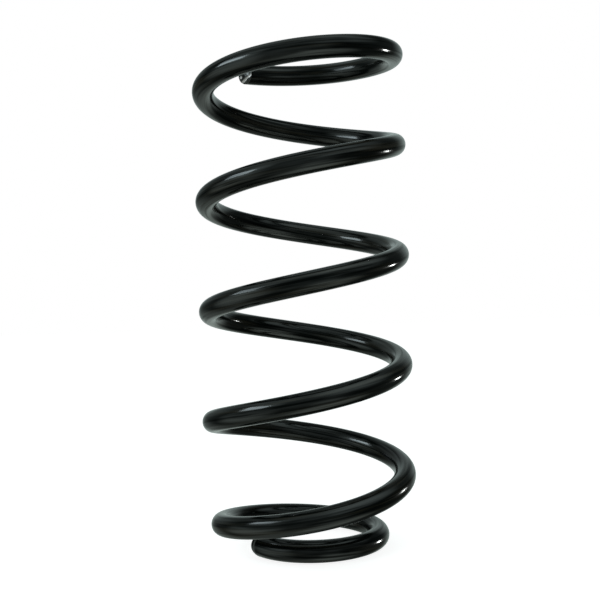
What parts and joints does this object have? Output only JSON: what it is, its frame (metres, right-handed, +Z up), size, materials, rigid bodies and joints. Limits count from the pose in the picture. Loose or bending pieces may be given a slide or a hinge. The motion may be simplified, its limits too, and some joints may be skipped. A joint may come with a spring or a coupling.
{
  "type": "suspension coil spring",
  "caption": "Right-hand helical compression spring of round steel bar, with a small pigtail lower end and a level full-width upper end, coated gloss black.",
  "frame": {"origin": "on the coil's axis, at the plane that the lower end coil rests on", "axes": "+Z up along the coil's axis, from the pigtail end to the full-width end; +X to the right and +Y to the back as the spring is usually shown"},
  "size_m": [0.128, 0.128, 0.304],
  "materials": {
    "coated_bar": "gloss black powder coat on spring steel"
  },
  "bodies": {
    "lower_end_coil": {"lower_end_coil": "coated_bar", "coil_1_back_right": "coated_bar"},
    "coil_1_back_left": {"coil_1_back_left": "coated_bar"},
    "coil_1_front_left": {"coil_1_front_left": "coated_bar"},
    "coil_1_front_right": {"coil_1_front_right": "coated_bar"},
    "coil_2_back_right": {"coil_2_back_right": "coated_bar"},
    "coil_2_back_left": {"coil_2_back_left": "coated_bar"},
    "coil_2_front_left": {"coil_2_front_left": "coated_bar"},
    "coil_2_front_right": {"coil_2_front_right": "coated_bar"},
    "coil_3_back_right": {"coil_3_back_right": "coated_bar"},
    "coil_3_back_left": {"coil_3_back_left": "coated_bar"},
    "coil_3_front_left": {"coil_3_front_left": "coated_bar"},
    "coil_3_front_right": {"coil_3_front_right": "coated_bar"},
    "coil_4_back_right": {"coil_4_back_right": "coated_bar"},
    "coil_4_back_left": {"coil_4_back_left": "coated_bar"},
    "coil_4_front_left": {"coil_4_front_left": "coated_bar"},
    "coil_4_front_right": {"coil_4_front_right": "coated_bar"},
    "coil_5_back_right": {"coil_5_back_right": "coated_bar"},
    "coil_5_back_left": {"coil_5_back_left": "coated_bar"},
    "coil_5_front_left": {"coil_5_front_left": "coated_bar"},
    "coil_5_front_right": {"coil_5_front_right": "coated_bar"},
    "upper_end_coil": {"upper_end_coil": "coated_bar"}
  },
  "joints": [
    {"name": "compression", "type": "slide", "parent": "lower_end_coil", "child": "upper_end_coil", "axis": [0, 0, -1], "range_m": [0, 0.176], "stiffness_N_per_m": 41000},
    {"name": "coil_1_back_left_follow", "type": "slide", "parent": "lower_end_coil", "child": "coil_1_back_left", "axis": [0, 0, -1], "range_m": [0, 0.00373]},
    {"name": "coil_1_front_left_follow", "type": "slide", "parent": "lower_end_coil", "child": "coil_1_front_left", "axis": [0, 0, -1], "range_m": [0, 0.00977]},
    {"name": "coil_1_front_right_follow", "type": "slide", "parent": "lower_end_coil", "child": "coil_1_front_right", "axis": [0, 0, -1], "range_m": [0, 0.01865]},
    {"name": "coil_2_back_right_follow", "type": "slide", "parent": "lower_end_coil", "child": "coil_2_back_right", "axis": [0, 0, -1], "range_m": [0, 0.02893]},
    {"name": "coil_2_back_left_follow", "type": "slide", "parent": "lower_end_coil", "child": "coil_2_back_left", "axis": [0, 0, -1], "range_m": [0, 0.03921]},
    {"name": "coil_2_front_left_follow", "type": "slide", "parent": "lower_end_coil", "child": "coil_2_front_left", "axis": [0, 0, -1], "range_m": [0, 0.04949]},
    {"name": "coil_2_front_right_follow", "type": "slide", "parent": "lower_end_coil", "child": "coil_2_front_right", "axis": [0, 0, -1], "range_m": [0, 0.05975]},
    {"name": "coil_3_back_right_follow", "type": "slide", "parent": "lower_end_coil", "child": "coil_3_back_right", "axis": [0, 0, -1], "range_m": [0, 0.07003]},
    {"name": "coil_3_back_left_follow", "type": "slide", "parent": "lower_end_coil", "child": "coil_3_back_left", "axis": [0, 0, -1], "range_m": [0, 0.08031]},
    {"name": "coil_3_front_left_follow", "type": "slide", "parent": "lower_end_coil", "child": "coil_3_front_left", "axis": [0, 0, -1], "range_m": [0, 0.09058]},
    {"name": "coil_3_front_right_follow", "type": "slide", "parent": "lower_end_coil", "child": "coil_3_front_right", "axis": [0, 0, -1], "range_m": [0, 0.10086]},
    {"name": "coil_4_back_right_follow", "type": "slide", "parent": "lower_end_coil", "child": "coil_4_back_right", "axis": [0, 0, -1], "range_m": [0, 0.11112]},
    {"name": "coil_4_back_left_follow", "type": "slide", "parent": "lower_end_coil", "child": "coil_4_back_left", "axis": [0, 0, -1], "range_m": [0, 0.1214]},
    {"name": "coil_4_front_left_follow", "type": "slide", "parent": "lower_end_coil", "child": "coil_4_front_left", "axis": [0, 0, -1], "range_m": [0, 0.13168]},
    {"name": "coil_4_front_right_follow", "type": "slide", "parent": "lower_end_coil", "child": "coil_4_front_right", "axis": [0, 0, -1], "range_m": [0, 0.14196]},
    {"name": "coil_5_back_right_follow", "type": "slide", "parent": "lower_end_coil", "child": "coil_5_back_right", "axis": [0, 0, -1], "range_m": [0, 0.15224]},
    {"name": "coil_5_back_left_follow", "type": "slide", "parent": "lower_end_coil", "child": "coil_5_back_left", "axis": [0, 0, -1], "range_m": [0, 0.1625]},
    {"name": "coil_5_front_left_follow", "type": "slide", "parent": "lower_end_coil", "child": "coil_5_front_left", "axis": [0, 0, -1], "range_m": [0, 0.172]},
    {"name": "coil_5_front_right_follow", "type": "slide", "parent": "lower_end_coil", "child": "coil_5_front_right", "axis": [0, 0, -1], "range_m": [0, 0.17591]}
  ],
  "couplings": [
    {"joint": "coil_1_back_left_follow", "follows": "compression", "ratio": 0.0211},
    {"joint": "coil_1_front_left_follow", "follows": "compression", "ratio": 0.0554},
    {"joint": "coil_1_front_right_follow", "follows": "compression", "ratio": 0.1059},
    {"joint": "coil_2_back_right_follow", "follows": "compression", "ratio": 0.1643},
    {"joint": "coil_2_back_left_follow", "follows": "compression", "ratio": 0.2227},
    {"joint": "coil_2_front_left_follow", "follows": "compression", "ratio": 0.2811},
    {"joint": "coil_2_front_right_follow", "follows": "compression", "ratio": 0.3394},
    {"joint": "coil_3_back_right_follow", "follows": "compression", "ratio": 0.3978},
    {"joint": "coil_3_back_left_follow", "follows": "compression", "ratio": 0.4562},
    {"joint": "coil_3_front_left_follow", "follows": "compression", "ratio": 0.5146},
    {"joint": "coil_3_front_right_follow", "follows": "compression", "ratio": 0.573},
    {"joint": "coil_4_back_right_follow", "follows": "compression", "ratio": 0.6313},
    {"joint": "coil_4_back_left_follow", "follows": "compression", "ratio": 0.6897},
    {"joint": "coil_4_front_left_follow", "follows": "compression", "ratio": 0.7481},
    {"joint": "coil_4_front_right_follow", "follows": "compression", "ratio": 0.8065},
    {"joint": "coil_5_back_right_follow", "follows": "compression", "ratio": 0.8649},
    {"joint": "coil_5_back_left_follow", "follows": "compression", "ratio": 0.9232},
    {"joint": "coil_5_front_left_follow", "follows": "compression", "ratio": 0.9772},
    {"joint": "coil_5_front_right_follow", "follows": "compression", "ratio": 0.9994}
  ]
}
